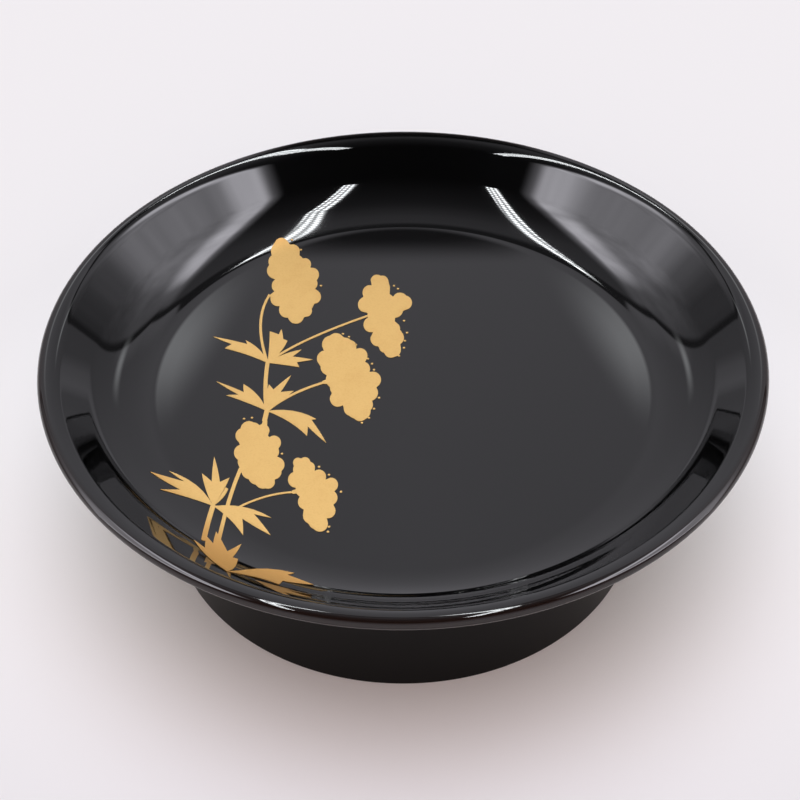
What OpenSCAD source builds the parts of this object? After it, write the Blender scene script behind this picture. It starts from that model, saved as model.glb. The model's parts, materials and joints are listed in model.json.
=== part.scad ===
// Black lacquered dish on a tall ring foot, with a gold spray of flowers.
// A turned wooden dish is glued to a turned wooden ring foot, both are coated in
// lacquer, and the spray is laid on the inside as thin gold areas.
// The origin is the middle of the standing edge, +Z is up, and -Y is the front.

/* [Dish] */
// Diameter over the lip, lacquer included
rim_d = 210; // [196:1:228]
// Height from the standing edge to the top of the lip
dish_h = 66; // [52:1:80]
// Diameter of the flat floor inside the dish
floor_d = 144; // [130:1:156]
// Depth from the top of the lip to the floor
bowl_depth = 16; // [13:0.5:22]
// Slope of the straight part of the wall, above the level
wall_slope = 42.5; // [36:0.5:50]
// Thickness of the dish wall, lacquer included
wall_t = 3.8; // [3:0.1:5]
// Radius of the curve that rolls the wall outwards into the lip
lip_curve_r = 7; // [6:0.2:12]

/* [Foot] */
// Outside diameter of the foot where it meets the dish, lacquer included
foot_top_d = 136; // [126:1:146]
// Outside diameter of the foot at the standing edge, lacquer included
foot_bottom_d = 141.5; // [130:0.5:154]
// Thickness of the wooden foot ring
foot_t = 6; // [4:0.5:10]
// How far the flat seat for the foot ring stands down from the dish
seat_h = 0.6; // [0.3:0.1:1.5]
// Height of the boss inside the seat that centres the foot ring
boss_h = 3; // [2:0.5:6]
// Glue line between the boss and the foot ring
glue_gap = 0.1; // [0.05:0.05:0.3]

/* [Finish] */
// Thickness of each lacquer coat
coat_t = 0.4; // [0.2:0.05:0.7]
// Thickness of the gold areas
gold_t = 0.15; // [0.1:0.05:0.3]

/* [Spray] */
// Length of the spray from its root to the top of the highest flower
spray_len = 130.5; // [115:0.5:140]
// Bearing of the root round the dish, from +X towards +Y
spray_bearing = 232; // [0:1:359]
// How far the root stands out beyond the edge of the floor
root_out = 8.8; // [6:0.2:14]
// Diameter of the loose gold dots beside the flowers
dot_d = 0.7; // [0.5:0.1:1.2]

/* [Hidden] */
$fn = 144;

wood = "BurlyWood";
lacquer = [0.03, 0.03, 0.03];
gold = [0.90, 0.74, 0.46];

// Dish profile: an arc leads from the flat floor up into a straight wall, and a second
// arc rolls the wall over into the level lip.
floor_r = floor_d / 2;
floor_z = dish_h - bowl_depth;
crest_r = rim_d / 2 - wall_t / 2;
wall_run = crest_r - floor_r;
wall_rise = wall_run * sin(wall_slope) - bowl_depth * cos(wall_slope);
floor_curve_r = wall_rise / (1 - cos(wall_slope)) - lip_curve_r;

// Foot profile: the flat seat under the dish, and the wood's radius below it.
seat_r = foot_top_d / 2 - coat_t;
seat_z = floor_z - wall_t + coat_t - seat_h;
boss_r = seat_r - foot_t - glue_gap;
boss_z = seat_z - boss_h;
foot_flare = (foot_bottom_d - foot_top_d) / 2 / seat_z;
function foot_out(z) = seat_r + (seat_z - z) * foot_flare;
function foot_in(z) = foot_out(z) - foot_t;

// Steps along the arcs of the dish profile and round the edge of the lip
arc_steps = 16;
lip_steps = 6;

function reverse(points) = [for (k = [len(points) - 1:-1:0]) points[k]];

function arc(centre, r, from, to, steps) =
    [for (k = [0:steps]) let (a = from + (to - from) * k / steps) centre + r * [cos(a), sin(a)]];

// Profile line at a depth t below the inside surface, from the middle to the crest
function dish_line(t) = concat(
    [[0, floor_z - t]],
    arc([floor_r, floor_z + floor_curve_r], floor_curve_r + t, -90, wall_slope - 90, arc_steps),
    arc([crest_r, dish_h - lip_curve_r], lip_curve_r - t, 90 + wall_slope, 90, arc_steps)
);

// Profile line round the outer edge of the lip at a depth t, between two angles
function lip_line(t, from, to) =
    arc([crest_r, dish_h - wall_t / 2], wall_t / 2 - t, from, to, lip_steps);

// Profile of a layer between two depths below the inside surface, out to the crest
module dish_layer(top_t, bottom_t) {
    polygon(concat(dish_line(top_t), reverse(dish_line(bottom_t))));
}

// The part of a profile line that lies outside a radius, cut off at that radius
function outside(line, r) = [[r, lookup(r, line)], for (p = line) if (p.x > r) p];

// Wooden pieces

module dish_core() {
    edge = concat(lip_line(coat_t, 90, 0), lip_line(coat_t, 0, -90));
    underside = outside(dish_line(wall_t - coat_t), seat_r);
    seat = [[seat_r, seat_z], [boss_r, seat_z], [boss_r, boss_z], [0, boss_z]];
    color(wood) rotate_extrude()
        polygon(concat(dish_line(coat_t), edge, reverse(underside), seat));
}

module foot_ring_core() {
    color(wood) rotate_extrude()
        polygon([
            [foot_in(coat_t), coat_t], [foot_out(coat_t), coat_t],
            [foot_out(seat_z), seat_z], [foot_in(seat_z), seat_z]
        ]);
}

// Lacquer coats

module inside_lacquer() {
    edge = concat(lip_line(0, 90, 0), lip_line(coat_t, 0, 90));
    color(lacquer) rotate_extrude()
        polygon(concat(dish_line(0), edge, reverse(dish_line(coat_t))));
}

module underside_lacquer() {
    edge = concat(lip_line(coat_t, -90, 0), lip_line(0, 0, -90));
    inner = outside(dish_line(wall_t - coat_t), seat_r);
    outer = outside(dish_line(wall_t), seat_r);
    color(lacquer) rotate_extrude()
        polygon(concat(inner, edge, reverse(outer)));
}

module base_lacquer() {
    low_z = boss_z - coat_t;
    color(lacquer) rotate_extrude()
        polygon([[0, low_z], [foot_in(low_z), low_z], [foot_in(boss_z), boss_z], [0, boss_z]]);
}

module foot_outside_lacquer() {
    skin_r = seat_r + coat_t;
    under_dish = [for (p = outside(dish_line(wall_t), seat_r)) if (p.x < skin_r) p];
    color(lacquer) rotate_extrude()
        polygon(concat(
            [[foot_out(coat_t), coat_t], [foot_out(coat_t) + coat_t, coat_t], [skin_r, seat_z]],
            [[skin_r, lookup(skin_r, dish_line(wall_t))]],
            reverse(under_dish),
            [[seat_r, seat_z]]
        ));
}

module foot_inside_lacquer() {
    top_z = boss_z - coat_t;
    color(lacquer) rotate_extrude()
        polygon([
            [foot_in(coat_t) - coat_t, coat_t], [foot_in(coat_t), coat_t],
            [foot_in(top_z), top_z], [foot_in(top_z) - coat_t, top_z]
        ]);
}

module standing_edge_lacquer() {
    color(lacquer) rotate_extrude()
        intersection() {
            union() {
                translate([foot_in(coat_t), 0]) square([foot_t, coat_t]);
                for (r = [foot_in(coat_t), foot_out(coat_t)]) translate([r, coat_t]) circle(coat_t);
            }
            square([rim_d, coat_t]);
        }
}

// Gold spray. Its plan is drawn in plan units, 131 of them to the length of the spray,
// with its root at [0, 0] and its top along +Y, and is then laid out in the dish.
plan_units = 131;
plan_bearing = 232;
plan_scale = spray_len / plan_units;
root_r = floor_r + root_out;

// Lays a flat outline on the inside surface as a thin gold area
module gild() {
    color(gold) intersection() {
        rotate_extrude() dish_layer(-gold_t, 0);
        translate([0, 0, floor_z]) linear_extrude(bowl_depth) lay_out() children();
    }
}

module lay_out() {
    rotate(spray_bearing - plan_bearing)
        translate(root_r * [cos(plan_bearing), sin(plan_bearing)])
            scale(plan_scale) children();
}

// Flower heads: each is one or more scalloped patches, given as
// [x, y, half width, half length, lean to the left, scallops]
HEADS = [
    [[15.5, 112.4, 6.8, 17.4, 9, 20]],
    [[43, 107.4, 2.8, 6.4, 4, 9], [44.6, 100.2, 7, 4.6, -2, 12], [44.8, 88.8, 5, 10.6, 7, 14]],
    [[34, 69, 7.4, 17.2, 12, 20]],
    [[9, 36, 6.2, 12.4, 12, 16]],
    [[24.6, 20, 5.6, 12.8, 13, 16]]
];
scallop_depth = 0.16;
scallop_points = 6;

// A point on a patch's edge. The scallops are finer on its right side than on its left.
function patch_edge(patch, a) =
    let (wander = 1 + 0.05 * sin(2 * a + 40 * patch[5]) + 0.04 * cos(3 * a + 70 * patch[5]))
    let (depth = scallop_depth * (1 + 0.25 * sin(5 * a + 50 * patch[5])))
    let (turn = a + 12 * sin(a))
    (wander + depth * abs(sin(patch[5] * turn / 2))) * [patch[2] * cos(a), patch[3] * sin(a)];

module patch_outline(patch) {
    points = scallop_points * patch[5];
    translate([patch[0], patch[1]])
        rotate(patch[4])
            polygon([for (k = [0:points - 1]) patch_edge(patch, 360 * k / points)]);
}

module head_outline(i) {
    for (patch = HEADS[i - 1]) patch_outline(patch);
}

module flower_head(i) {
    gild() head_outline(i);
}

// Leaves: each grows from a joint and divides into pointed lobes, given anticlockwise
// as tip, notch, tip and so on. A leaf lies over the stems or under them, bows to the
// left by a share of its length, and a shoot is a leaf with a blunt end for lobes.
OVER = true;
UNDER = false;
ROOT_JOINT = [3.2, -18];
LOW_JOINT = [-3.2, 15.8];
MID_JOINT = [10.2, 54];
TOP_JOINT = [9.6, 74.8];
LEAVES = [
    [UNDER, TOP_JOINT, -0.06, [[2.6, 85], [3.2, 83.2], [-7.3, 86.7], [-1.5, 83.3], [-3.5, 81.4]]],
    [UNDER, TOP_JOINT, -0.04, [[15.2, 84.6], [13.9, 85.4], [13.2, 89.9], [12.5, 87.5], [9.7, 88.9]]],
    [UNDER, TOP_JOINT, 0.04, [[19.1, 72.8], [18.3, 75], [23, 76.1], [16.9, 77.5], [19.5, 80.6]]],
    [UNDER, MID_JOINT, -0.05, [[2.9, 65.6], [3.1, 62.1], [-5.2, 66.8], [1.7, 61], [-2, 60.8]]],
    [UNDER, MID_JOINT, 0.02, [[17.8, 62.5], [13.9, 62], [16.8, 69.3], [11.8, 63.1], [10.4, 65.3]]],
    [UNDER, MID_JOINT, 0.09, [[22.2, 43.5], [22.3, 47.5], [27.8, 40.6], [23.3, 50.2], [24.7, 50.5]]],
    [UNDER, LOW_JOINT, -0.07, [[-16.5, 29.6], [-11.8, 25.4], [-21.7, 28.4], [-12.7, 22.1], [-18.3, 21.2]]],
    [UNDER, LOW_JOINT, 0, [[0.8, 26.8], [-1.8, 25.1], [-4, 35.3], [-4.1, 25.3], [-7.1, 28.6]]],
    [OVER, LOW_JOINT, 0.08, [[5.7, 4.5], [5.2, 10.9], [13.3, 4.5], [8.3, 12.6], [13.2, 11.1]]],
    [OVER, ROOT_JOINT, 0, [
        [5, -6.4], [3.5, -6], [5.4, 0.9], [1.9, -3.2], [-1.7, 5.5],
        [-2.1, -0.3], [-4.2, 2.9], [-4, -3.6], [-7.3, -0.3]
    ]],
    [UNDER, LOW_JOINT, -0.05, [[0.7, 22.4], [-0.1, 23]]],
    [UNDER, ROOT_JOINT, 0.2, [[16.6, -18.4], [17.4, -15.4], [25.7, -15.8], [18.5, -11.7], [20.3, -10.5]]]
];
// How far the outer edges of a leaf, and those between its lobes, swell outwards, as a
// share of their length
leaf_swell = 0.03;
lobe_swell = 0.015;
edge_steps = 6;

// Points of a bowed edge, without its end
function bowed_edge(from, to, bow) =
    let (run = to - from)
    [for (k = [0:edge_steps - 1]) let (t = k / edge_steps)
        from + run * t + 4 * bow * t * (1 - t) * [-run.y, run.x]];

function leaf_points(base, bow, lobes) = let (last = len(lobes) - 1) [
    each bowed_edge(base, lobes[0], bow - leaf_swell),
    for (k = [0:1:last - 1]) each bowed_edge(lobes[k], lobes[k + 1], -lobe_swell),
    each bowed_edge(lobes[last], base, -bow - leaf_swell)
];

function is_over(i) = LEAVES[i - 1][0];

module leaf_outline(i) {
    leaf = LEAVES[i - 1];
    polygon(leaf_points(leaf[1], leaf[2], leaf[3]));
}

// A leaf lies under the flower heads and under the leaves before it.
module leaf_area(i) {
    difference() {
        leaf_outline(i);
        for (k = [1:len(HEADS)]) head_outline(k);
        for (k = [1:1:i - 1]) leaf_outline(k);
        if (!is_over(i)) for (k = [1:len(STEMS)]) stem_outline(k);
    }
}

module leaf(i) {
    gild() leaf_area(i);
}

// Stems: each is a bowed stroke with round ends, given as [start, middle, end, width]
STEMS = [
    [TOP_JOINT, [9.4, 64.4], MID_JOINT, 1.2],
    [MID_JOINT, [9.8, 50.6], [9, 46], 1.4],
    [[4.6, 33.6], [1.1, 17.6], [-0.8, 1.5], 1.1],
    [LOW_JOINT, [-4.2, 8.8], [-4.7, 1], 1.4],
    [TOP_JOINT, [6.8, 95], [11, 110], 0.8],
    [TOP_JOINT, [22, 85.6], [42.4, 97.4], 0.8],
    [MID_JOINT, [18.4, 61.6], [29, 67], 0.9],
    [[21.5, 21], [11.6, 19.4], [1.8, 13.6], 0.7]
];
stem_steps = 12;

function stem_point(stem, t) =
    let (bow = 2 * stem[1] - (stem[0] + stem[2]) / 2)
    (1 - t) * (1 - t) * stem[0] + 2 * t * (1 - t) * bow + t * t * stem[2];

// A point on the stroke's edge: turn is 90 on its left side and -90 on its right
function stem_edge(stem, t, turn) =
    let (run = stem_point(stem, t + 0.01) - stem_point(stem, t - 0.01))
    let (a = atan2(run.y, run.x) + turn)
    stem_point(stem, t) + stem[3] / 2 * [cos(a), sin(a)];

module stem_outline(i) {
    stem = STEMS[i - 1];
    polygon([
        for (k = [0:stem_steps]) stem_edge(stem, k / stem_steps, 90),
        for (turn = [60:-30:-60]) stem_edge(stem, 1, turn),
        for (k = [stem_steps:-1:0]) stem_edge(stem, k / stem_steps, -90),
        for (turn = [-120:-30:-240]) stem_edge(stem, 0, turn)
    ]);
}

// A stem lies under the flower heads, the leaves over it and the stems before it.
module stem_area(i) {
    difference() {
        stem_outline(i);
        for (k = [1:len(HEADS)]) head_outline(k);
        for (k = [1:len(LEAVES)]) if (is_over(k)) leaf_outline(k);
        for (k = [1:1:i - 1]) stem_outline(k);
    }
}

module stem(i) {
    gild() stem_area(i);
}

// Loose dots beside the heads, in short rows given as
// [head, patch, angle of the first dot, angle of the last dot, dots]
DOT_ROWS = [
    [0, 0, 75, -5, 7],
    [1, 0, 0, -40, 2],
    [1, 2, 25, -80, 8],
    [2, 0, 80, -70, 11],
    [3, 0, 130, 105, 2],
    [3, 0, 25, -15, 3],
    [3, 0, -50, -70, 2],
    [4, 0, 105, 85, 2],
    [4, 0, 55, 0, 5],
    [4, 0, -40, -80, 4]
];
// Least distance of a dot from its head, and the steps by which it wanders off
dot_clear = 0.15;
dot_step = 0.25;

module dot_row(row) {
    patch = HEADS[row[0]][row[1]];
    dot_r = dot_d / plan_scale / 2;
    for (k = [0:row[4] - 1]) {
        edge = patch_edge(patch, row[2] + (row[3] - row[2]) * k / (row[4] - 1));
        off = (dot_r + dot_clear + dot_step * (k % 3)) / norm(edge);
        translate([patch[0], patch[1]])
            rotate(patch[4])
                translate(edge * (1 + off)) circle(dot_r);
    }
}

module dot_areas() {
    difference() {
        for (row = DOT_ROWS) dot_row(row);
        for (k = [1:len(HEADS)]) head_outline(k);
    }
}

module gold_dots() {
    gild() dot_areas();
}

dish_core();
foot_ring_core();
inside_lacquer();
underside_lacquer();
base_lacquer();
foot_outside_lacquer();
foot_inside_lacquer();
standing_edge_lacquer();
for (i = [1:len(HEADS)])
    flower_head(i);
for (i = [1:len(LEAVES)])
    leaf(i);
for (i = [1:len(STEMS)])
    stem(i);
gold_dots();
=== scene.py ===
"""Black lacquered dish on a tall ring foot, with a gold spray of flowers inside.

The turned wooden pieces and the gold leaves and stems are the frame's own nodes. The lacquer
coats are turned here as smooth shells, and the flower heads and loose dots are drawn with the
uneven outlines of painted ones. These stand for the frame's nodes.
"""

import json
import math

import bpy
from bpy.props import FloatProperty, FloatVectorProperty, PointerProperty
from mathutils import Matrix, Vector


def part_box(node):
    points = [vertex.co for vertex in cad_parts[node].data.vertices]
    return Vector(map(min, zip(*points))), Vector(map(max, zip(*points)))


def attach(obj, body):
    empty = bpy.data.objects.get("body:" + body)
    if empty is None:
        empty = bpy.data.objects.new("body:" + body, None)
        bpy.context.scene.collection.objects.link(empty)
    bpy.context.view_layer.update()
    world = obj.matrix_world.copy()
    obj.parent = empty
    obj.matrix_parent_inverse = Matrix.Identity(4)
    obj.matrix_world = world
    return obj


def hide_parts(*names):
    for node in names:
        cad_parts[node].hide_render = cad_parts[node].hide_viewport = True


bl_info = {
    "name": "Lacquered Footed Dish",
    "version": (1, 0, 0),
    "blender": (4, 5, 0),
    "location": "View3D > Sidebar > Lacquered Dish",
    "description": "Coats a turned dish in black lacquer, gilds its flowers and sets the stage",
    "category": "Object",
}

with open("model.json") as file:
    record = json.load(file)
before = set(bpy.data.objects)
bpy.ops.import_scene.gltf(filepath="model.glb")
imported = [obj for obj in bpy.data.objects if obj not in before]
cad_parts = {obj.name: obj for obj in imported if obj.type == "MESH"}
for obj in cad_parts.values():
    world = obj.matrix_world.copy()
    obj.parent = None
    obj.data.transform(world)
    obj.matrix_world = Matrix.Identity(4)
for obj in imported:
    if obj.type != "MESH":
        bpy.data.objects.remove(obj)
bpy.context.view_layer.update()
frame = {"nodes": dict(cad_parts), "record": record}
BODY = "root"
MM = 0.001


def top_of(node):
    """Highest corner of a frame node's box."""
    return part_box(node)[1]


def bottom_of(node):
    """Lowest corner of a frame node's box."""
    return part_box(node)[0]


def length(name, description, default):
    """A length property in metres."""
    return FloatProperty(
        name=name, description=description, default=default, unit="LENGTH", precision=5
    )


def colour(name, description, default):
    """A colour property without alpha."""
    return FloatVectorProperty(
        name=name, description=description, default=default, subtype="COLOR", size=3, min=0, max=1
    )


class DishSizes(bpy.types.PropertyGroup):
    """Sizes of the turned profile. Those that a box shows come from the frame."""

    coat: length("Coat", "Thickness of a lacquer coat", top_of("standing_edge_lacquer").z)
    rim_r: length("Rim radius", "Radius over the lip", top_of("inside_lacquer").x)
    lip_z: length("Lip height", "Height of the top of the lip", top_of("inside_lacquer").z)
    edge_z: length("Edge height", "Height of the lip's outermost line", top_of("underside_lacquer").z)
    base_z: length("Base height", "Height of the coat under the dish", bottom_of("base_lacquer").z)
    low_coat_z: length(
        "Lowest coat", "Height of the inside coat's lowest face", bottom_of("inside_lacquer").z
    )
    seat_z: length("Seat height", "Height of the foot ring's top", top_of("foot_ring_core").z)
    foot_low_r: length(
        "Foot radius", "Outside radius of the wood at its lower edge", top_of("foot_ring_core").x
    )
    floor_r: length("Floor radius", "Radius of the flat floor", 72 * MM)
    wall_slope: FloatProperty(
        name="Wall slope", description="Slope of the straight wall",
        default=math.radians(42.5), subtype="ANGLE",
    )
    lip_curve_r: length("Lip curve", "Radius of the curve that rolls into the lip", 7 * MM)
    seat_r: length("Seat radius", "Radius of the wooden seat under the dish", 67.6 * MM)
    foot_t: length("Foot thickness", "Thickness of the wooden foot ring", 6 * MM)


class DishColours(bpy.types.PropertyGroup):
    """Colours of the finishes and of the stage."""

    lacquer: colour("Lacquer", "Body of the black lacquer", (0.0005, 0.0005, 0.0005))
    lip_tint: colour("Lip tint", "Brown where the lacquer is thin at the lip", (0.012, 0.006, 0.0045))
    gold: colour("Gold", "Sprinkled gold", (0.63, 0.408, 0.138))
    gold_thin: colour("Thin gold", "Gold where the powder lies thin", (0.555, 0.333, 0.10))
    # Painted shade: darker, browner gold where the spray climbs the wall
    gold_wall_painted_shade: colour(
        "Gold on the wall", "Gold rubbed thin where the spray climbs the wall", (0.60, 0.33, 0.092)
    )
    wood_pale: colour("Pale wood", "Early wood of the turned core", (0.62, 0.45, 0.28))
    wood_dark: colour("Dark wood", "Late wood of the turned core", (0.42, 0.27, 0.14))
    # Painted light: the paper is paler under the dish, which lifts the dish's shadow
    floor: colour("Floor", "Paper under the dish", (0.98, 0.98, 0.98))
    floor_far: colour("Far floor", "Paper away from the dish", (0.80, 0.80, 0.80))
    backdrop: colour("Backdrop", "White behind the dish", (0.885, 0.875, 0.895))


# Materials

class Value:
    """A shader socket that takes part in Python arithmetic by adding Math nodes."""

    def __init__(self, shader, socket):
        self.shader = shader
        self.socket = socket

    def maths(self, operation, *operands):
        """Adds a Math node over the operands."""
        return self.shader.add("ShaderNodeMath", {"operation": operation}, dict(enumerate(operands)))

    def at_least(self, lowest):
        """Keeps from falling below a level."""
        return self.maths("MAXIMUM", self, lowest)

    def between(self, low, high):
        """Goes from one level to another as this share goes from 0 to 1."""
        return low + self * (high - low)

    def __add__(self, other):
        return self.maths("ADD", self, other)

    def __sub__(self, other):
        return self.maths("SUBTRACT", self, other)

    def __rsub__(self, other):
        return self.maths("SUBTRACT", other, self)

    def __mul__(self, other):
        return self.maths("MULTIPLY", self, other)

    def __truediv__(self, other):
        return self.maths("DIVIDE", self, other)

    def __pow__(self, other):
        return self.maths("POWER", self, other)

    def __abs__(self):
        return self.maths("ABSOLUTE", self)

    __radd__ = __add__
    __rmul__ = __mul__


class Shader:
    """The node tree of a material, a world or a lamp."""

    def __init__(self, owner):
        owner.use_nodes = True
        self.tree = owner.node_tree
        self.tree.nodes.clear()

    def add(self, kind, settings=None, sockets=None, output=0):
        """Adds a node, sets it up, fills or links its sockets and returns one output."""
        node = self.tree.nodes.new(kind)
        for name, setting in (settings or {}).items():
            if name == "stops":
                self.set_stops(node.color_ramp, setting)
            else:
                setattr(node, name, setting)
        for name, given in (sockets or {}).items():
            if isinstance(given, Value):
                self.tree.links.new(given.socket, node.inputs[name])
            else:
                node.inputs[name].default_value = given
        return Value(self, node.outputs[output]) if node.outputs else None

    @staticmethod
    def set_stops(ramp, stops):
        """Gives a colour ramp its stops, each a position and a grey level."""
        while len(ramp.elements) < len(stops):
            ramp.elements.new(1.0)
        for element, (position, level) in zip(ramp.elements, stops):
            element.position = position
            element.color = (level, level, level, 1.0)

    def place(self):
        """Object coordinates, and their x, y and z."""
        vector = self.add("ShaderNodeTexCoord", output="Object")
        return vector, self.split(vector, "XYZ")

    def split(self, vector, axes):
        """Some of a vector's axes."""
        return [self.add("ShaderNodeSeparateXYZ", {}, {0: vector}, axis) for axis in axes]

    def noise(self, vector, scale, detail=2.0, roughness=0.5):
        """Fractal noise over a vector."""
        return self.add(
            "ShaderNodeTexNoise", {},
            {"Vector": vector, "Scale": scale, "Detail": detail, "Roughness": roughness},
        )

    def blend(self, factor, low, high):
        """Colour between two colours, each a colour or a link."""
        full = [(*c, 1.0) if not isinstance(c, Value) else c for c in (low, high)]
        return self.add(
            "ShaderNodeMix", {"data_type": "RGBA"}, {0: factor, 6: full[0], 7: full[1]}, output=2
        )

    def ramp(self, value, low, high, to_low=0.0, to_high=1.0):
        """Smooth step of a value between two limits."""
        return self.add(
            "ShaderNodeMapRange", {"interpolation_type": "SMOOTHSTEP"},
            {"Value": value, "From Min": low, "From Max": high, "To Min": to_low, "To Max": to_high},
        )

    def fade(self, value, low, high, level=1.0):
        """Smooth step down from a level to nothing between two limits."""
        return self.ramp(value, low, high, level, 0.0)

    def bump(self, height, strength, depth):
        """Normal that a height field tilts."""
        return self.add(
            "ShaderNodeBump", {}, {"Strength": strength, "Distance": depth, "Height": height}
        )


def new_material(name):
    """A material and its emptied node tree."""
    material = bpy.data.materials.new(name)
    return material, Shader(material)


def finish_surface(shader, sockets):
    """Ends a node tree with one surface."""
    surface = shader.add("ShaderNodeBsdfPrincipled", {}, sockets)
    shader.add("ShaderNodeOutputMaterial", {}, {"Surface": surface})


def hypotenuse(a, b):
    """Length over two steps at a right angle."""
    return (a * a + b * b) ** 0.5


# Lacquer: width of the brown lip, roughness of the skin, and what polish and hairlines add to it
LIP_WIDTH = 3 * MM
SKIN_ROUGHNESS = 0.022
POLISH_ROUGHNESS = 0.02
HAIR_ROUGHNESS = 0.05
HAIR_SHARE = (0.66, 0.74)
SKIN_WAVES = {"strength": 0.06, "depth": 0.1 * MM}


def black_lacquer(name, sizes, colours, ior):
    """Black lacquer: thin and brown at the lip, with a hand-polished, faintly marked skin."""
    material, shader = new_material(name)
    vector, (x, y, _) = shader.place()
    at_lip = shader.ramp(hypotenuse(x, y), sizes.rim_r - LIP_WIDTH, sizes.rim_r)
    polish = shader.noise(vector, scale=90.0, detail=3.0)
    hairs = shader.ramp(shader.noise(vector, scale=900.0, detail=4.0, roughness=0.7), *HAIR_SHARE)
    finish_surface(shader, {
        "Base Color": shader.blend(at_lip, tuple(colours.lacquer), tuple(colours.lip_tint)),
        "Roughness": SKIN_ROUGHNESS + POLISH_ROUGHNESS * polish + HAIR_ROUGHNESS * hairs,
        "Normal": shader.bump(shader.noise(vector, scale=45.0, detail=1.0), **SKIN_WAVES),
        "IOR": ior,
    })
    return material


# Gold: where it lies thin, how much that shows, and the ring round the floor where painted shade turns it
# darker and browner on the wall
THIN_SHARE = (0.48, 0.72)
THIN_SHOWS = 0.25
SPECK_SHARE = (0.45, 0.70)
SPECKS_SHOW = 0.35
WALL_SHADE_RING = (1 * MM, 9 * MM)
GOLD_METALLIC = 0.55
GOLD_ROUGHNESS = 0.42
GRAIN_ROUGHNESS = 0.16
GOLD_GRAIN = {"strength": 0.35, "depth": 0.02 * MM}


def sprinkled_gold(sizes, colours):
    """Gold powder sprinkled on wet lacquer: fine grain and specks over soft thick and thin areas, with
    painted shade on the wall.
    """
    material, shader = new_material("sprinkled_gold")
    vector, (x, y, _) = shader.place()
    thin = shader.ramp(shader.noise(vector, scale=170.0, detail=3.0), *THIN_SHARE)
    specks = shader.ramp(shader.noise(vector, scale=1800.0), *SPECK_SHARE)
    worn = THIN_SHOWS * thin + SPECKS_SHOW * specks
    powder = shader.blend(worn, tuple(colours.gold), tuple(colours.gold_thin))
    # Painted shade: the gold turns darker and browner on the wall beyond the floor
    wall_shade = shader.ramp(hypotenuse(x, y), *(sizes.floor_r + edge for edge in WALL_SHADE_RING))
    grain = shader.noise(vector, scale=5200.0, roughness=0.7)
    finish_surface(shader, {
        "Base Color": shader.blend(wall_shade, powder, tuple(colours.gold_wall_painted_shade)),
        "Metallic": GOLD_METALLIC,
        "Roughness": GOLD_ROUGHNESS + GRAIN_ROUGHNESS * grain,
        "Normal": shader.bump(grain, **GOLD_GRAIN),
    })
    return material


# Wood: spacing of the growth rings, where late wood begins in one, how far they wander, and fibres
RING_SPACING = 2.5 * MM
LATE_WOOD = 1.2 * MM
RING_WANDER = 10 * MM
FIBRE_STRETCH = (0.08, 1.0, 1.0)
LATE_SHOWS = 0.7
FIBRES_SHOW = 0.3
WOOD_ROUGHNESS = 0.55
FIBRE_ROUGHNESS = 0.2
WOOD_FIBRES = {"strength": 0.3, "depth": 0.1 * MM}


def turned_wood(colours):
    """Bare turned wood with growth rings that run across the piece."""
    material, shader = new_material("bare_turned_wood")
    vector, (_, y, z) = shader.place()
    bent = y + RING_WANDER * shader.noise(vector, scale=12.0)
    rings = y.maths("PINGPONG", hypotenuse(bent, z), RING_SPACING)
    late = shader.ramp(rings, LATE_WOOD, RING_SPACING)
    stretched = shader.add(
        "ShaderNodeVectorMath", {"operation": "MULTIPLY"}, {0: vector, 1: FIBRE_STRETCH}
    )
    fibres = shader.noise(stretched, scale=1500.0, detail=3.0)
    tone = LATE_SHOWS * late + FIBRES_SHOW * fibres
    finish_surface(shader, {
        "Base Color": shader.blend(tone, tuple(colours.wood_pale), tuple(colours.wood_dark)),
        "Roughness": WOOD_ROUGHNESS + FIBRE_ROUGHNESS * fibres,
        "Normal": shader.bump(fibres, **WOOD_FIBRES),
    })
    return material


# Turning

ROUND_STEPS = 192
ARC_STEPS = 28
EDGE_STEPS = 16
MERGE = 0.002 * MM
SHARP = math.radians(35)


class Profile:
    """A section drawn point by point in the X-Z plane, then turned about the dish's axis."""

    def __init__(self, name, radius, height):
        bpy.ops.object.select_all(action="DESELECT")
        bpy.ops.mesh.primitive_plane_add(size=MM)
        self.piece = bpy.context.object
        self.piece.name = name
        bpy.ops.object.mode_set(mode="EDIT")
        bpy.ops.mesh.merge(type="CENTER")
        bpy.ops.transform.translate(value=(radius, 0, height))
        self.point = [radius, height]

    def line_to(self, radius, height):
        """Extrudes the last point along a straight line."""
        step = (radius - self.point[0], 0, height - self.point[1])
        bpy.ops.mesh.extrude_vertices_move(TRANSFORM_OT_translate={"value": step})
        self.point = [radius, height]
        return self

    def line_by(self, outwards, upwards):
        """Extrudes the last point by a straight step."""
        return self.line_to(self.point[0] + outwards, self.point[1] + upwards)

    def arc(self, centre, degrees, steps=ARC_STEPS):
        """Spins the last point about a centre, anticlockwise where the angle is positive."""
        angle = math.radians(degrees)
        bpy.ops.mesh.spin(
            steps=steps, angle=abs(angle), center=(centre[0], 0, centre[1]),
            axis=(0, math.copysign(1, angle), 0),
        )
        r, z = self.point[0] - centre[0], self.point[1] - centre[1]
        self.point = [
            centre[0] + r * math.cos(angle) - z * math.sin(angle),
            centre[1] + r * math.sin(angle) + z * math.cos(angle),
        ]
        return self

    def turn(self):
        """Spins the section full circle and closes the shell."""
        bpy.ops.mesh.select_all(action="SELECT")
        bpy.ops.mesh.spin(steps=ROUND_STEPS, angle=2 * math.pi, center=(0, 0, 0), axis=(0, 0, 1))
        bpy.ops.mesh.select_all(action="SELECT")
        bpy.ops.mesh.remove_doubles(threshold=MERGE)
        bpy.ops.mesh.normals_make_consistent(inside=False)
        bpy.ops.object.mode_set(mode="OBJECT")
        bpy.ops.object.shade_smooth_by_angle(angle=SHARP)
        return self.piece


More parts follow.
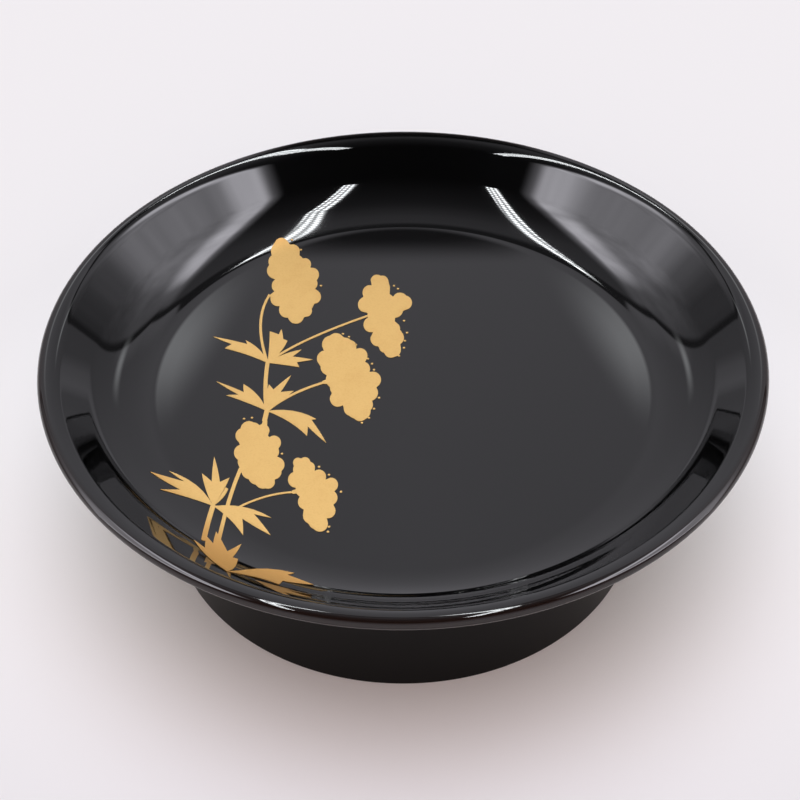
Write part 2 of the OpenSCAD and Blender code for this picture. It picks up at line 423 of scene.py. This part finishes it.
class DishCurve:
    """The dish's section: floor, floor curve, straight wall and lip curve, worked out from its sizes."""

    # Steps along the wall, short at both ends so that the shading stays flat between them
    wall_shares = (0.05, 0.9, 0.05)

    def __init__(self, sizes):
        self.coat = sizes.coat
        self.wall = 2 * (sizes.lip_z - sizes.edge_z)
        self.floor_z = sizes.low_coat_z + sizes.coat
        self.slope = math.degrees(sizes.wall_slope)
        depth = sizes.lip_z - self.floor_z
        crest_r = sizes.rim_r - self.wall / 2
        run = crest_r - sizes.floor_r
        sine, cosine = math.sin(sizes.wall_slope), math.cos(sizes.wall_slope)
        curves_r = (run * sine - depth * cosine) / (1 - cosine)
        self.wall_step = (run - curves_r * sine, depth - curves_r * (1 - cosine))
        self.floor_centre = (sizes.floor_r, self.floor_z + curves_r - sizes.lip_curve_r)
        self.lip_centre = (crest_r, sizes.lip_z - sizes.lip_curve_r)
        self.edge_centre = (crest_r, sizes.edge_z)

    def climb(self, section):
        """Leads a section from the edge of the floor out to the crest."""
        section.arc(self.floor_centre, self.slope)
        for share in self.wall_shares:
            section.line_by(*(share * step for step in self.wall_step))
        section.arc(self.lip_centre, -self.slope)

    def descend(self, section):
        """Leads a section from the crest back to the edge of the floor."""
        section.arc(self.lip_centre, self.slope)
        for share in self.wall_shares:
            section.line_by(*(-share * step for step in self.wall_step))
        section.arc(self.floor_centre, -self.slope)


def paint(piece, material):
    """Replaces a piece's materials by one material."""
    piece.data.materials.clear()
    piece.data.materials.append(material)


def dress(piece, material, node):
    """Gives a new piece its finish and puts it in the place of a frame node."""
    paint(piece, material)
    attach(piece, BODY)
    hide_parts(node)


# Refraction of the polished lacquer inside, and of the duller one on the outside and the foot
POLISHES = {"polished_lacquer": 1.5, "rubbed_lacquer": 1.3}


class DishOperator:
    """What the dish's operators share."""

    bl_options = {"REGISTER", "UNDO"}

    def groups(self, context):
        """The sizes and the colours."""
        return context.scene.dish_sizes, context.scene.dish_colours

    def lacquer(self, context, name="rubbed_lacquer"):
        """A lacquer by its name, made when it is first asked for."""
        made = bpy.data.materials.get(name)
        return made or black_lacquer(name, *self.groups(context), POLISHES[name])


class DISH_OT_wood(DishOperator, bpy.types.Operator):
    """Finish the turned dish and foot ring in bare wood"""

    bl_idname = "dish.wood"
    bl_label = "Turned Wood"

    def execute(self, context):
        material = turned_wood(context.scene.dish_colours)
        for node in ("dish_core", "foot_ring_core"):
            paint(frame["nodes"][node], material)
        return {"FINISHED"}


class DISH_OT_inside_coat(DishOperator, bpy.types.Operator):
    """Turn the lacquer coat over the floor, wall and lip"""

    bl_idname = "dish.inside_coat"
    bl_label = "Inside Coat"

    def execute(self, context):
        sizes, _ = self.groups(context)
        curve = DishCurve(sizes)
        coat = Profile("inside_coat", 0, curve.floor_z)
        coat.line_to(sizes.floor_r / 2, curve.floor_z)
        coat.line_to(sizes.floor_r - curve.wall, curve.floor_z)
        coat.line_to(sizes.floor_r, curve.floor_z)
        curve.climb(coat)
        coat.arc(curve.edge_centre, -90, EDGE_STEPS)
        coat.line_to(sizes.rim_r - curve.coat, sizes.edge_z)
        coat.arc(curve.edge_centre, 90, EDGE_STEPS)
        curve.descend(coat)
        coat.line_to(0, sizes.low_coat_z)
        dress(coat.turn(), self.lacquer(context, "polished_lacquer"), "inside_lacquer")
        return {"FINISHED"}


class DISH_OT_underside_coat(DishOperator, bpy.types.Operator):
    """Turn the lacquer coat under the dish, from the foot out to the lip"""

    bl_idname = "dish.underside_coat"
    bl_label = "Underside Coat"

    def execute(self, context):
        sizes, _ = self.groups(context)
        curve = DishCurve(sizes)
        outer_z = curve.floor_z - curve.wall
        coat = Profile("underside_coat", sizes.seat_r, outer_z + curve.coat)
        coat.line_to(sizes.floor_r, outer_z + curve.coat)
        curve.climb(coat)
        coat.arc(curve.edge_centre, 90, EDGE_STEPS)
        coat.line_to(sizes.rim_r, sizes.edge_z)
        coat.arc(curve.edge_centre, -90, EDGE_STEPS)
        curve.descend(coat)
        coat.line_to(sizes.seat_r, outer_z).line_to(sizes.seat_r, outer_z + curve.coat)
        dress(coat.turn(), self.lacquer(context), "underside_lacquer")
        return {"FINISHED"}


class DISH_OT_foot_coats(DishOperator, bpy.types.Operator):
    """Turn the lacquer coats of the foot ring and of the base inside it"""

    bl_idname = "dish.foot_coats"
    bl_label = "Foot Coats"

    def execute(self, context):
        sizes, _ = self.groups(context)
        curve = DishCurve(sizes)
        coat = sizes.coat
        flare = (sizes.foot_low_r - sizes.seat_r) / (sizes.seat_z - coat)

        def wood_r(z):
            return sizes.seat_r + (sizes.seat_z - z) * flare

        def inner_r(z):
            return wood_r(z) - sizes.foot_t

        skin_r = sizes.seat_r + coat
        under_z = curve.floor_z - curve.wall
        outside = Profile("foot_outside_coat", wood_r(coat), coat)
        outside.line_to(wood_r(coat) + coat, coat).line_to(skin_r, sizes.seat_z)
        outside.line_to(skin_r, under_z).line_to(sizes.seat_r, under_z)
        outside.line_to(sizes.seat_r, sizes.seat_z).line_to(wood_r(coat), coat)
        dress(outside.turn(), self.lacquer(context), "foot_outside_lacquer")

        base_r = inner_r(sizes.base_z)
        inside = Profile("foot_inside_coat", inner_r(coat), coat)
        inside.line_to(base_r, sizes.base_z).line_to(base_r - coat, sizes.base_z)
        inside.line_to(inner_r(coat) - coat, coat).line_to(inner_r(coat), coat)
        dress(inside.turn(), self.lacquer(context), "foot_inside_lacquer")

        base = Profile("base_coat", 0, sizes.base_z)
        base.line_to(sizes.floor_r / 2, sizes.base_z).line_to(base_r, sizes.base_z)
        base.line_to(inner_r(sizes.base_z + coat), sizes.base_z + coat).line_to(0, sizes.base_z + coat)
        dress(base.turn(), self.lacquer(context), "base_lacquer")

        edge = Profile("standing_edge_coat", inner_r(coat) - coat, coat)
        edge.arc((inner_r(coat), coat), 90, EDGE_STEPS).line_to(wood_r(coat), 0)
        edge.arc((wood_r(coat), coat), 90, EDGE_STEPS).line_to(inner_r(coat) - coat, coat)
        dress(edge.turn(), self.lacquer(context), "standing_edge_lacquer")
        return {"FINISHED"}


# Camera, set before the flowers because they are placed by what it sees

CAMERA_PLACE = (0, -471.8 * MM, 490.2 * MM)
CAMERA_DOWN = math.radians(43.349)
CAMERA_TURN = math.radians(-0.113)
CAMERA_ROLL = math.radians(-0.439)
CAMERA_LENS = 99.0
CAMERA_SENSOR = 36.0
PHOTO_SIZE = 800


def camera_aim():
    """Turn of the camera from looking straight down."""
    level = Matrix.Rotation(-CAMERA_TURN, 4, "Z")
    tipped = level @ Matrix.Rotation(math.pi / 2 - CAMERA_DOWN, 4, "X")
    return tipped @ Matrix.Rotation(CAMERA_ROLL, 4, "Z")


def seen_at(pixel, height):
    """Point at a height that the camera sees at a pixel of the photograph."""
    share = CAMERA_SENSOR / CAMERA_LENS / PHOTO_SIZE
    across, down = [(place - PHOTO_SIZE / 2) * share for place in pixel]
    ray = camera_aim() @ Vector((across, -down, -1))
    return Vector(CAMERA_PLACE) + ray * ((height - CAMERA_PLACE[2]) / ray.z)


# Flower heads

# Thickness of the gold, and the height above the floor at which it is drawn before it is laid down
GOLD_T = 0.16 * MM
DRAWN_ABOVE = Vector((0, 0, 5 * MM))
AREA_CUTS = 2
HEAD_STEPS = 160
# Round lobes of each head, by the pixel of their middle and their radius in pixels. The last ones fill
# the inside, and the smallest ones lead to a stem.
HEAD_LOBES = {
    "flower_head_1": (
        (282, 248, 8), (293, 252, 7), (305, 264.5, 6), (312, 275, 7), (311, 284, 6.5), (314, 297, 7),
        (306, 311, 6), (296, 316, 8), (287, 310, 8), (278, 299, 7.5), (279, 286, 7.2), (275, 271, 8),
        (276, 262, 7.5), (279, 252, 8), (296, 263, 8), (306, 303, 8), (272, 296, 2.2),
    ),
    "flower_head_2": (
        (377, 281.5, 6.5), (382.5, 282, 6), (383, 288, 7), (400, 301, 8), (405, 303, 7), (395, 310, 8),
        (393, 329, 7), (397, 338, 7), (394, 350, 7), (391, 351, 7), (385, 347, 6), (378, 339, 7.5),
        (371, 325, 7.5), (366, 305, 8), (370, 293, 7.5), (387, 301, 7), (387, 319, 8), (377, 315, 9.5),
    ),
    "flower_head_3": (
        (331, 345, 9), (336, 342, 8.5), (345, 346, 8), (350, 347, 6.5), (360, 356, 7.5), (363, 369, 7),
        (373, 380, 8), (370, 393, 8), (366, 405, 7), (363, 412, 7.5), (360, 414, 7.5), (355, 411, 7.5),
        (352, 408, 8.5), (338, 399, 8), (338, 388, 8), (334, 380, 8.2), (329, 367, 8.5), (325, 359, 8),
        (323.8, 382.7, 1.9),
    ),
    "flower_head_4": (
        (249, 430, 8.5), (254, 430, 7), (263, 431, 6.5), (274, 443, 7), (272, 452, 7), (277, 465, 7.5),
        (274, 472, 7.5), (268, 482, 7), (263, 481, 8), (257, 476, 9), (250, 471, 8.5), (246, 462, 8.2),
        (242, 453, 8), (247, 440, 8.5), (243, 436, 7.5), (263, 441, 7), (265, 422.5, 2.8),
        (242, 469.5, 2.8),
    ),
    "flower_head_5": (
        (298, 463, 5), (305, 463, 5.5), (301, 467, 7), (309, 468, 6), (319, 477, 7), (331, 485, 7),
        (330, 498, 7.5), (328, 511, 7.5), (320, 524, 8), (316, 522, 7.5), (311, 516, 8), (306, 502, 8),
        (303, 490, 7.4), (296, 480, 8), (300, 470, 7), (293.5, 492.3, 1.9),
    ),
}
# Loose dots beside the heads, by their pixels
DOT_R = 0.36 * MM
DOT_SIDES = 12
DOTS = (
    (292, 241), (301, 250), (321, 286), (394, 286), (398, 289), (404, 321), (407, 333), (405, 341),
    (404, 348), (399, 356), (343, 334), (349, 337), (356, 345), (368, 359), (372, 364), (374, 370),
    (379, 398), (374, 409), (369, 418), (362, 423), (244, 419), (252, 418), (282, 454), (319, 467),
    (329, 475), (341, 492), (329, 527), (328, 532),
)


def lobed_outline(lobes):
    """Outline round overlapping lobes, followed about their common middle."""
    middle = [sum(lobe[axis] for lobe in lobes) / len(lobes) for axis in (0, 1)]
    for step in range(HEAD_STEPS):
        angle = 2 * math.pi * step / HEAD_STEPS
        along = (math.cos(angle), math.sin(angle))
        reach = 0
        for x, y, radius in lobes:
            x, y = x - middle[0], y - middle[1]
            towards = x * along[0] + y * along[1]
            aside = x * along[1] - y * along[0]
            if abs(aside) < radius:
                reach = max(reach, towards + math.sqrt(radius ** 2 - aside ** 2))
        yield middle[0] + reach * along[0], middle[1] + reach * along[1]


def begin_area(name):
    """A small square in edit mode, from which an area of gold is drawn."""
    bpy.ops.object.select_all(action="DESELECT")
    bpy.ops.mesh.primitive_plane_add(size=MM)
    area = bpy.context.object
    area.name = name
    bpy.ops.object.mode_set(mode="EDIT")
    return area


def draw_outline(outline):
    """Leads a point round an outline and fills it."""
    bpy.ops.mesh.merge(type="CENTER")
    bpy.ops.transform.translate(value=outline[0])
    for before, after in zip(outline, outline[1:]):
        bpy.ops.mesh.extrude_vertices_move(TRANSFORM_OT_translate={"value": after - before})
    bpy.ops.mesh.select_all(action="SELECT")
    bpy.ops.mesh.edge_face_add()
    bpy.ops.mesh.quads_convert_to_tris()
    bpy.ops.mesh.subdivide(number_cuts=AREA_CUTS)


def draw_dots(places):
    """Adds a filled circle at each place."""
    bpy.ops.mesh.delete(type="VERT")
    for place in places:
        bpy.ops.mesh.primitive_circle_add(
            vertices=DOT_SIDES, radius=DOT_R, fill_type="NGON", location=place
        )


def lay_down(area, coat):
    """Drops a drawn area on a coat and gives it its thickness."""
    bpy.ops.object.mode_set(mode="OBJECT")
    drop = area.modifiers.new("drop", "SHRINKWRAP")
    drop.target = coat
    drop.wrap_method = "PROJECT"
    drop.use_project_z = drop.use_negative_direction = True
    drop.use_positive_direction = False
    bpy.ops.object.modifier_apply(modifier=drop.name)
    bpy.ops.object.mode_set(mode="EDIT")
    bpy.ops.mesh.select_all(action="SELECT")
    bpy.ops.mesh.extrude_region_move(TRANSFORM_OT_translate={"value": (0, 0, GOLD_T)})
    bpy.ops.mesh.select_all(action="SELECT")
    bpy.ops.mesh.remove_doubles(threshold=MERGE)
    bpy.ops.mesh.normals_make_consistent(inside=False)
    bpy.ops.object.mode_set(mode="OBJECT")
    bpy.ops.object.shade_smooth_by_angle(angle=SHARP)


class DISH_OT_gold_spray(DishOperator, bpy.types.Operator):
    """Gild the flower heads, leaves, stems and dots of the spray"""

    bl_idname = "dish.gold_spray"
    bl_label = "Gold Spray"

    def execute(self, context):
        material = sprinkled_gold(*self.groups(context))
        for subpart in frame["record"]["subparts"]:
            if subpart["material_slot"] == "gold_leafwork":
                paint(frame["nodes"][subpart["node"]], material)
        self.draw_flowers(DishCurve(context.scene.dish_sizes).floor_z, material)
        return {"FINISHED"}

    def draw_flowers(self, floor_z, material):
        """Draws the lobed heads and their loose dots and lays them on the inside coat."""

        def above(pixels):
            return [seen_at(pixel, floor_z) + DRAWN_ABOVE for pixel in pixels]

        coat = bpy.data.objects["inside_coat"]
        for node, lobes in HEAD_LOBES.items():
            head = begin_area(node.replace("flower", "lobed"))
            draw_outline(above(lobed_outline(lobes)))
            lay_down(head, coat)
            dress(head, material, node)
        dots = begin_area("loose_dots")
        draw_dots(above(DOTS))
        lay_down(dots, coat)
        dress(dots, material, "gold_dots")


# Stage

FLOOR_SIZE = 8.0
# Distances from the axis between which the paper goes from painted light, which lifts the dish's shadow,
# over to its far tone
SHADOW_LIFT_FADE = (100 * MM, 170 * MM)
PAPER_ROUGHNESS = 0.85
FIBRES_ROUGHEN = 0.1

# Dotted strip lamps under the tent's ceiling, each by its front end, its back end and its widths there
LAMP_TINT = (0.95, 0.98, 1.0)
STRIP_Z = 1500 * MM
STRIP_DOTS = (70 * MM, 28 * MM)
STRIP_LEVEL = 20.0
STRIP_BASE = 0.2
STRIP_PEAK = 2.8
STRIP_EDGE = (-0.06, 0.0)
STRIPS = {
    "right_strip_front": ((315 * MM, -600 * MM), (271 * MM, 210 * MM), (90 * MM, 80 * MM)),
    "right_strip_back": ((274 * MM, 190 * MM), (40 * MM, 1225 * MM), (80 * MM, 32 * MM)),
    "left_strip": ((-590 * MM, -610 * MM), (-90 * MM, 1220 * MM), (90 * MM, 32 * MM)),
}
# Soft glows on the tent's back wall, by their middle and their lean
GLOW_SIZE = (50 * MM, 160 * MM)
GLOW_LEVEL = 2.0
GLOWS = {
    "left_glow": ((-112 * MM, 300 * MM, 305 * MM), math.radians(-28)),
    "right_glow": ((112 * MM, 300 * MM, 305 * MM), math.radians(28)),
}
# Dark card behind the dish, by its middle, its width and height, and the heights where it fades out
CARD_PLACE = (0, 112 * MM, 88 * MM)
CARD_SIZE = (110 * MM, 40 * MM)
CARD_FADE = (85 * MM, 97 * MM)
CARD_COVER = 0.9
CARD_BLACK = (0.004, 0.004, 0.004, 1.0)
# Shares of its width between which its ends fade, and the rise of the rays that begin and fully see it
CARD_ENDS = (0.32, 0.48)
CARD_STEEP = (0.3, 0.5)


def reflected_lamp(name, size, level, place, turn):
    """A rectangular lamp that only reflections show, with its shader and its two parametric shares."""
    lamp = bpy.data.lights.new(name, "AREA")
    lamp.shape = "RECTANGLE"
    lamp.size, lamp.size_y = size
    lamp.energy = level * math.pi * size[0] * size[1]
    holder = bpy.data.objects.new(name, lamp)
    holder.location = place
    holder.rotation_euler = turn
    holder.visible_camera = False
    holder.visible_diffuse = False
    bpy.context.scene.collection.objects.link(holder)
    shader = Shader(lamp)
    return shader, shader.split(shader.add("ShaderNodeNewGeometry", output="Parametric"), "XY")


def shine(shader, strength):
    """Ends a lamp's node tree with its light."""
    emission = shader.add(
        "ShaderNodeEmission", {}, {"Color": (*LAMP_TINT, 1.0), "Strength": strength}
    )
    shader.add("ShaderNodeOutputLight", {}, {"Surface": emission})


def wave(share, count):
    """A number of waves between 0 and 1 along a share."""
    return share.maths("SINE", share * (2 * math.pi * count)) * 0.5 + 0.5


def light_strip(name, start, end, widths):
    """A dotted strip lamp that faces down and narrows towards the back."""
    run = (end[0] - start[0], end[1] - start[1])
    size = (math.hypot(*run), widths[0])
    middle = ((start[0] + end[0]) / 2, (start[1] + end[1]) / 2, STRIP_Z)
    turn = (0, 0, math.atan2(run[1], run[0]))
    shader, shares = reflected_lamp(name, size, STRIP_LEVEL, middle, turn)
    along, across = [
        wave(share, round(span / dot)) for share, span, dot in zip(shares, size, STRIP_DOTS)
    ]
    half_width = 0.5 - (0.5 - 0.5 * widths[1] / widths[0]) * shares[0]
    inside = shader.fade(abs(shares[1] - 0.5) - half_width, *STRIP_EDGE)
    shine(shader, (STRIP_BASE + STRIP_PEAK * along * across) * inside)


def back_glow(name, middle, lean):
    """A soft upright glow that faces the front."""
    turn = (-math.pi / 2, lean, 0)
    shader, shares = reflected_lamp(name, GLOW_SIZE, GLOW_LEVEL, middle, turn)
    across, along = [shader.fade(abs(share - 0.5), 0.0, 0.5) for share in shares]
    shine(shader, across * along)


def dark_card():
    """A dark card low behind the dish that only steep reflections show, with soft edges."""
    material, shader = new_material("dark_card")
    _, (x, _, z) = shader.place()
    low = shader.fade(z, *CARD_FADE, CARD_COVER)
    inward = shader.fade(abs(x), *(share * CARD_SIZE[0] for share in CARD_ENDS))
    (fall,) = shader.split(shader.add("ShaderNodeNewGeometry", output="Incoming"), "Z")
    steep = shader.ramp(0.0 - fall, *CARD_STEEP)
    finish_surface(shader, {
        "Base Color": CARD_BLACK, "Roughness": 1.0, "Alpha": low * inward * steep,
    })
    bpy.ops.object.select_all(action="DESELECT")
    bpy.ops.mesh.primitive_plane_add(size=1.0)
    card = bpy.context.object
    card.name = "dark_card"
    bpy.ops.object.mode_set(mode="EDIT")
    bpy.ops.transform.resize(value=(*CARD_SIZE, 1.0))
    bpy.ops.transform.rotate(value=math.pi / 2, orient_axis="X", center_override=(0, 0, 0))
    bpy.ops.transform.translate(value=CARD_PLACE)
    bpy.ops.object.mode_set(mode="OBJECT")
    paint(card, material)
    card.visible_camera = card.visible_diffuse = card.visible_shadow = False


# Light tent, in levels by how far a ray leans to the back or to the side as it rises

TENT_TINT = (0.99, 0.97, 1.05)
LOWEST_RISE = 0.03
CEILING_STOPS = [
    (-4.0, 0.80), (-1.7, 0.30), (-1.1, 0.02), (-0.7, 0.02), (-0.4, 0.06), (-0.2, 0.10),
    (0.0, 0.15), (0.1, 0.21), (0.2, 0.30), (0.3, 0.37), (0.4, 0.45), (0.6, 0.48),
]
SIDE_STOPS = [
    (-1.6, 0.80), (-0.9, 2.4), (-0.2, 2.9), (0.3, 2.9), (0.4, 2.7), (0.5, 2.25), (0.55, 1.85), (0.6, 1.45),
    (0.65, 1.22), (0.7, 1.10), (0.8, 0.90), (0.92, 0.70), (1.1, 0.55), (1.35, 0.43), (1.9, 0.32),
]
BACK_STOPS = [
    (0.0, 0.92), (0.3, 0.80), (0.6, 0.72), (1.0, 0.65), (1.5, 0.58),
    (3.0, 0.47), (3.5, 0.66), (4.5, 0.72), (6.0, 0.45), (8.0, 0.42),
]
# Side panels: the edge beside the ceiling, which spreads to the back, the edge at the front, and how
# softly the two join
PANEL_SIDE, PANEL_SPREAD = 0.50, 0.24
PANEL_FRONT, FRONT_STEEPNESS = -0.60, 0.8
PANEL_CORNER = 0.4
PANEL_EDGE = (-0.05, 0.05)
CLOTH_BASE, CLOTH_CLOUDS = 0.5, 1.0
# Bright ridge along a panel's edge: across it, and to the back
RIDGE_LEVEL = 5.0
RIDGE_RISE, RIDGE_FALL, RIDGE_END = (0.0, 0.06), (0.10, 0.30), (0.40, 0.62)
# Fold between ceiling and back wall, which climbs to the sides, and the dark seam before it
MIDDLE = (0.10, 0.22)
FOLD_START, FOLD_CLIMB = 0.5, 0.65
FOLD_LOWEST, FOLD_MIDDLE = 0.78, 0.09
FOLD_WIDTH, FOLD_WIDENING = 0.5, 0.5
FOLD_EDGE = (0.0, 0.04)
SEAM_LEVEL = 0.14
SEAM, SEAM_MIDDLE = (-0.12, -0.03), (0.40, 0.20)
# Glow of the back wall above the fold, on both sides of the middle
WALL_GLOW = 0.3
GLOW_HEIGHT, GLOW_START, GLOW_END = (0.04, 0.30), (0.10, 0.25), (0.70, 1.10)


def level_curve(shader, value, stops):
    """Light level that follows a value through stops."""
    (low, _), (high, _) = stops[0], stops[-1]
    top = max(level for _, level in stops)
    share = (value - low) / (high - low)
    ramp_stops = [((place - low) / (high - low), level / top) for place, level in stops]
    return top * shader.add("ShaderNodeValToRGB", {"stops": ramp_stops}, {0: share})


def ceiling_and_panels(shader, ray, side, back):
    """Levels of the dark ceiling and of the bright panels beside it."""
    past_side = side - (PANEL_SIDE - PANEL_SPREAD * back)
    past_front = FRONT_STEEPNESS * (back - PANEL_FRONT)
    past_edge = side.maths("SMOOTH_MIN", past_side, past_front, PANEL_CORNER)
    ridge = shader.ramp(past_edge, *RIDGE_RISE) * shader.fade(past_edge, *RIDGE_FALL)
    ridge = RIDGE_LEVEL * ridge * shader.fade(back, *RIDGE_END)
    cloth = CLOTH_BASE + CLOTH_CLOUDS * shader.noise(ray, scale=6.0, detail=3.0)
    panel = (level_curve(shader, back, SIDE_STOPS) + ridge) * cloth
    ceiling = level_curve(shader, back, CEILING_STOPS)
    return shader.ramp(past_edge, *PANEL_EDGE).between(ceiling, panel)


def tent_levels(shader, ray):
    """Levels of a light tent: a dark ceiling, bright side panels, and a back wall beyond a dark seam."""
    x, y, z = shader.split(ray, "XYZ")
    rise = z.at_least(LOWEST_RISE)
    side, back = abs(x) / rise, y / rise
    in_middle = shader.fade(side, *MIDDLE)
    fold = (FOLD_START + FOLD_CLIMB * side).at_least(FOLD_LOWEST + FOLD_MIDDLE * in_middle)
    past_fold = (back - fold) / (FOLD_WIDTH + FOLD_WIDENING * side)
    seam = [place - widening * in_middle for place, widening in zip(SEAM, SEAM_MIDDLE)]
    low = ceiling_and_panels(shader, ray, side, back)
    low = shader.fade(past_fold, *seam).between(SEAM_LEVEL, low)
    glow = shader.fade(past_fold, *GLOW_HEIGHT, WALL_GLOW)
    glow = glow * shader.ramp(side, *GLOW_START) * shader.fade(side, *GLOW_END)
    wall = level_curve(shader, side, BACK_STOPS) + glow
    return shader.ramp(past_fold, *FOLD_EDGE).between(low, wall)


# Light on matt things: from the top, from low at the back and from above the front
TOP_LIGHT = (1.53, 1.71, 2.07)
TOP_FOCUS = 4
BACK_LIGHT = (1.02, 1.05, 0.90)
FRONT_LIGHT = (1.90, 1.36, 1.11)
FRONT_AIM = (-0.6, 0.8)
FRONT_FOCUS = 6


def background(shader, tint, strength=1.0):
    """Light of a tint from all round."""
    return shader.add("ShaderNodeBackground", {}, {"Color": (*tint, 1.0), "Strength": strength})


def plain_light(shader, ray):
    """Soft light on matt things."""
    y, z = shader.split(ray, "YZ")
    to_front = FRONT_AIM[1] * z + FRONT_AIM[0] * y
    total = background(shader, TOP_LIGHT, z ** TOP_FOCUS)
    for light, level in (
        (BACK_LIGHT, y.at_least(0.0)),
        (FRONT_LIGHT, to_front.at_least(0.0) ** FRONT_FOCUS),
    ):
        part = background(shader, light, level)
        total = shader.add("ShaderNodeAddShader", {}, {0: total, 1: part})
    return total


def tent_world(colours):
    """White behind the dish for the camera, a plain level on matt things, and a tent in reflections."""
    world = bpy.data.worlds.new("light_tent")
    world.cycles.sampling_method = "NONE"
    bpy.context.scene.world = world
    shader = Shader(world)
    ray = shader.add("ShaderNodeTexCoord", output="Generated")
    tent = background(shader, TENT_TINT, tent_levels(shader, ray))
    white = background(shader, colours.backdrop)
    seen = tent
    for path, other in (("Is Diffuse Ray", plain_light(shader, ray)), ("Is Camera Ray", white)):
        on_path = shader.add("ShaderNodeLightPath", output=path)
        seen = shader.add("ShaderNodeMixShader", {}, {0: on_path, 1: seen, 2: other})
    shader.add("ShaderNodeOutputWorld", {}, {"Surface": seen})


def pale_paper(colours):
    """Matt pale paper, with painted light near the dish that lifts its shadow, and darker away from it."""
    material, shader = new_material("pale_paper")
    vector, (x, y, _) = shader.place()
    # Painted light: paler paper near the dish lifts its shadow
    past_shadow_lift = shader.ramp(hypotenuse(x, y), *SHADOW_LIFT_FADE)
    finish_surface(shader, {
        "Base Color": shader.blend(past_shadow_lift, tuple(colours.floor), tuple(colours.floor_far)),
        "Roughness": PAPER_ROUGHNESS + FIBRES_ROUGHEN * shader.noise(vector, scale=2500.0),
        "Specular IOR Level": 0.0,
    })
    return material


class DISH_OT_stage(DishOperator, bpy.types.Operator):
    """Set the pale floor, the light tent and the camera"""

    bl_idname = "dish.stage"
    bl_label = "Stage"

    def execute(self, context):
        colours = context.scene.dish_colours
        bpy.ops.object.select_all(action="DESELECT")
        bpy.ops.mesh.primitive_plane_add(size=FLOOR_SIZE)
        floor = context.object
        floor.name = "paper_floor"
        paint(floor, pale_paper(colours))
        dark_card()
        tent_world(colours)
        for name, ends in STRIPS.items():
            light_strip(name, *ends)
        for name, place in GLOWS.items():
            back_glow(name, *place)
        self.set_camera(context)
        context.scene.view_settings.view_transform = "Standard"
        return {"FINISHED"}

    def set_camera(self, context):
        """Sets the camera where the photograph was taken."""
        lens = bpy.data.cameras.new("camera")
        lens.sensor_width = CAMERA_SENSOR
        lens.lens = CAMERA_LENS
        camera = bpy.data.objects.new("camera", lens)
        camera.matrix_world = Matrix.Translation(CAMERA_PLACE) @ camera_aim()
        context.scene.collection.objects.link(camera)
        context.scene.camera = camera


OPERATORS = (
    DISH_OT_wood, DISH_OT_inside_coat, DISH_OT_underside_coat, DISH_OT_foot_coats,
    DISH_OT_gold_spray, DISH_OT_stage,
)


class DISH_PT_pieces(bpy.types.Panel):
    """Sidebar panel that lists the dish's pieces, sizes and colours"""

    bl_label = "Lacquered Dish"
    bl_idname = "DISH_PT_pieces"
    bl_space_type = "VIEW_3D"
    bl_region_type = "UI"
    bl_category = "Lacquered Dish"

    def draw(self, context):
        for operator in OPERATORS:
            self.layout.operator(operator.bl_idname)
        for group in (context.scene.dish_sizes, context.scene.dish_colours):
            box = self.layout.box()
            for name in group.bl_rna.properties.keys():
                if name not in ("rna_type", "name"):
                    box.prop(group, name)


CLASSES = (DishSizes, DishColours, *OPERATORS, DISH_PT_pieces)


def register():
    for cls in CLASSES:
        bpy.utils.register_class(cls)
    bpy.types.Scene.dish_sizes = PointerProperty(type=DishSizes)
    bpy.types.Scene.dish_colours = PointerProperty(type=DishColours)


def unregister():
    del bpy.types.Scene.dish_colours
    del bpy.types.Scene.dish_sizes
    for cls in reversed(CLASSES):
        bpy.utils.unregister_class(cls)


def main():
    register()
    bpy.ops.dish.wood()
    bpy.ops.dish.inside_coat()
    bpy.ops.dish.underside_coat()
    bpy.ops.dish.foot_coats()
    bpy.ops.dish.gold_spray()
    bpy.ops.dish.stage()


if __name__ == "__main__":
    main()
